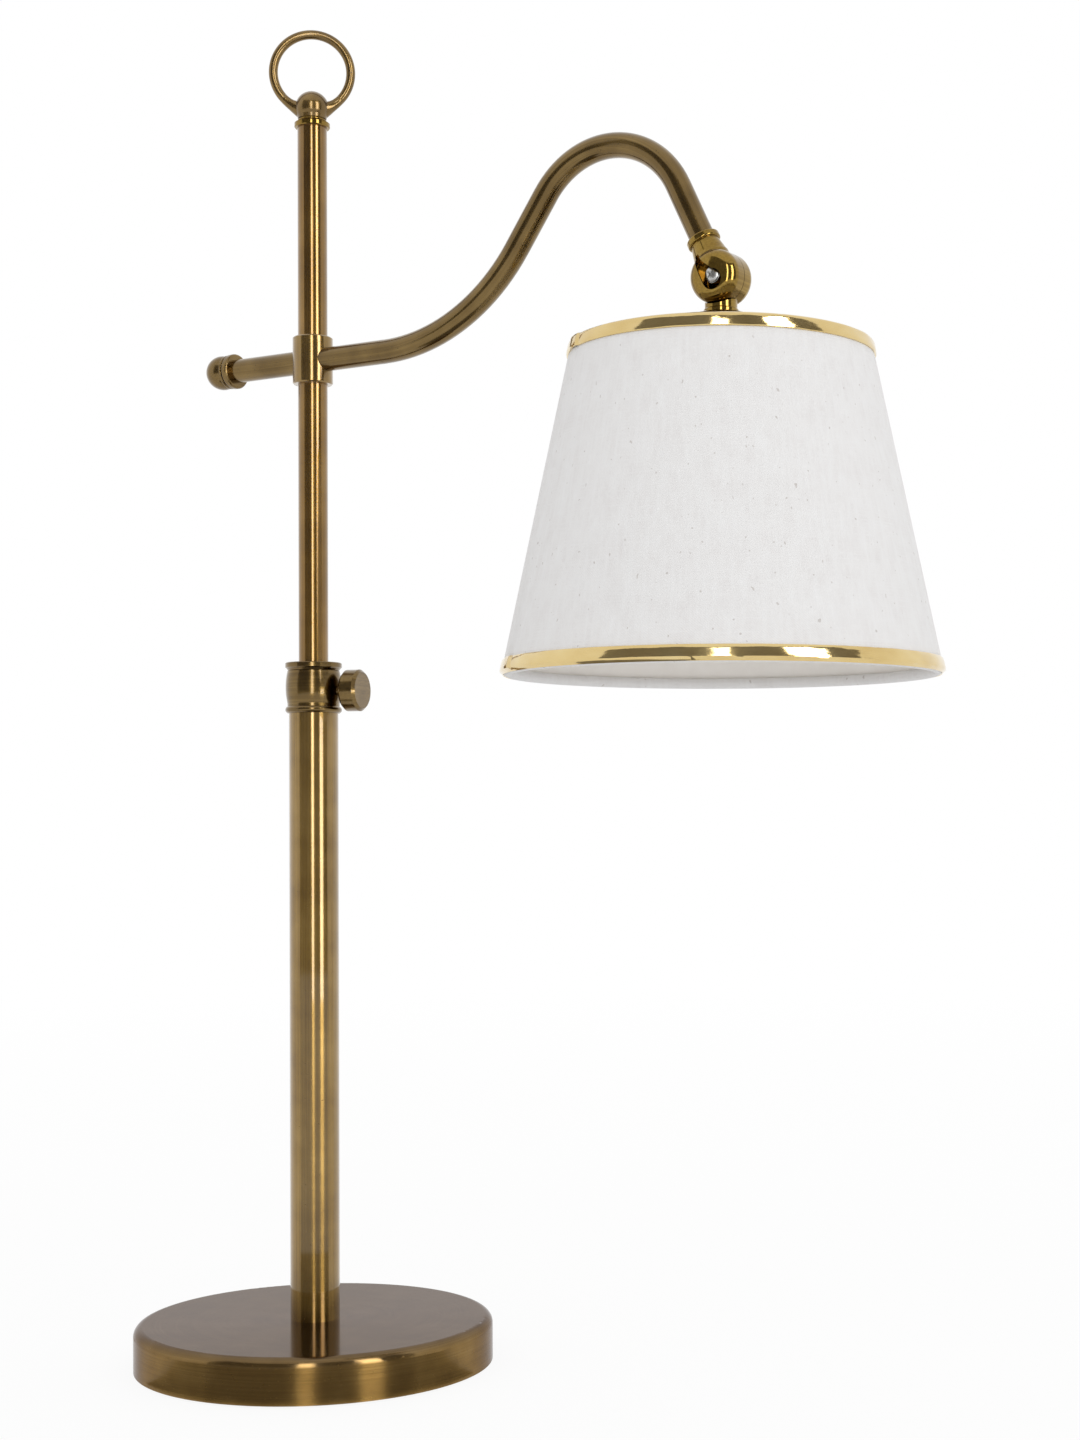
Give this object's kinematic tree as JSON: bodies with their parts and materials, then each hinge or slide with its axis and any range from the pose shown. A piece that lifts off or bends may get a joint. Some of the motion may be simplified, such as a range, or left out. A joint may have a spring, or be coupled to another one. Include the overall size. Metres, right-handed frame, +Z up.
{
  "type": "adjustable table lamp",
  "caption": "Table lamp with a round weighted base, a telescoping stem with a clamp knob, a ring finial, and a curved side arm that carries a cone shade on a tilting knuckle.",
  "frame": {"origin": "centre of the base's resting face, on the table under the stem's axis", "axes": "+Z up along the stem, +X along the arm at rest, +Y to the left of someone who looks along the arm"},
  "size_m": [0.4347, 0.2046, 0.6812],
  "materials": {
    "antique_brass": "satin antique brass",
    "polished_brass": "bright antique brass",
    "gold_trim": "woven metallic gold tape",
    "cast_iron": "as cast",
    "felt": "felt",
    "linen": "slubby linen on a stiff liner",
    "steel": "plain steel",
    "nylon": "moulded nylon",
    "black_plastic": "moulded",
    "contact_brass": "bright stamped brass",
    "cap_metal": "bright rolled aluminium",
    "bulb_glass": "clear blown glass"
  },
  "bodies": {
    "base": {"base_cover": "antique_brass", "base_weight": "cast_iron", "base_pad": "felt", "cord_bushing": "black_plastic", "stem_tube": "antique_brass", "stem_plug": "steel", "stem_nipple": "steel", "stem_washer": "steel", "stem_nut": "steel", "clamp_collar": "antique_brass", "guide_bush": "nylon"},
    "clamp_pad": {"grip_pad": "nylon"},
    "clamp_knob": {"clamp_screw": "antique_brass", "clamp_knob": "antique_brass"},
    "mast_slide": {"mast_foot": "nylon"},
    "mast": {"mast_tube": "antique_brass", "retaining_rings": "steel", "finial_collar": "polished_brass", "ring_finial": "antique_brass", "cross_collar": "antique_brass", "grub_screw": "steel", "rear_stub": "antique_brass", "rear_finial": "antique_brass", "arm_tube": "antique_brass", "arm_ferrule": "polished_brass", "knuckle_upper": "polished_brass"},
    "head": {"knuckle_lower": "polished_brass", "knuckle_screw": "steel", "knuckle_washer": "steel", "neck_ring": "polished_brass", "head_nipple": "steel", "nipple_nut": "steel", "socket_cap": "antique_brass", "lampholder": "nylon", "screw_shell": "contact_brass", "centre_contact": "contact_brass", "shade_ring_nut": "nylon", "shade_spider": "steel", "top_wire": "steel", "bottom_wire": "steel", "shade_linen": "linen", "top_trim": "gold_trim", "bottom_trim": "gold_trim", "bulb_glass": "bulb_glass", "bulb_cap": "cap_metal", "bulb_contact": "steel"}
  },
  "joints": [
    {"name": "clamp_travel", "type": "slide", "parent": "base", "child": "clamp_pad", "axis": [0.9744, 0.225, 0], "range_m": [0, 0.0012]},
    {"name": "clamp_turn", "type": "hinge", "parent": "clamp_pad", "child": "clamp_knob", "pos_m": [0, 0, 0.3423], "axis": [0.9744, 0.225, 0], "range_deg": [0, 540]},
    {"name": "mast_lift", "type": "slide", "parent": "base", "child": "mast_slide", "axis": [0, 0, 1], "range_m": [-0.135, 0.085]},
    {"name": "arm_swing", "type": "hinge", "parent": "mast_slide", "child": "mast", "pos_m": [0, 0, 0.355], "axis": [0, 0, 1], "range_deg": [-170, 170]},
    {"name": "shade_tilt", "type": "hinge", "parent": "mast", "child": "head", "pos_m": [0.24087, 0, 0.52412], "axis": [0, -1, 0], "range_deg": [-35, 60]}
  ],
  "couplings": [
    {"joint": "clamp_turn", "follows": "clamp_travel", "rad_per_m": 7850}
  ]
}
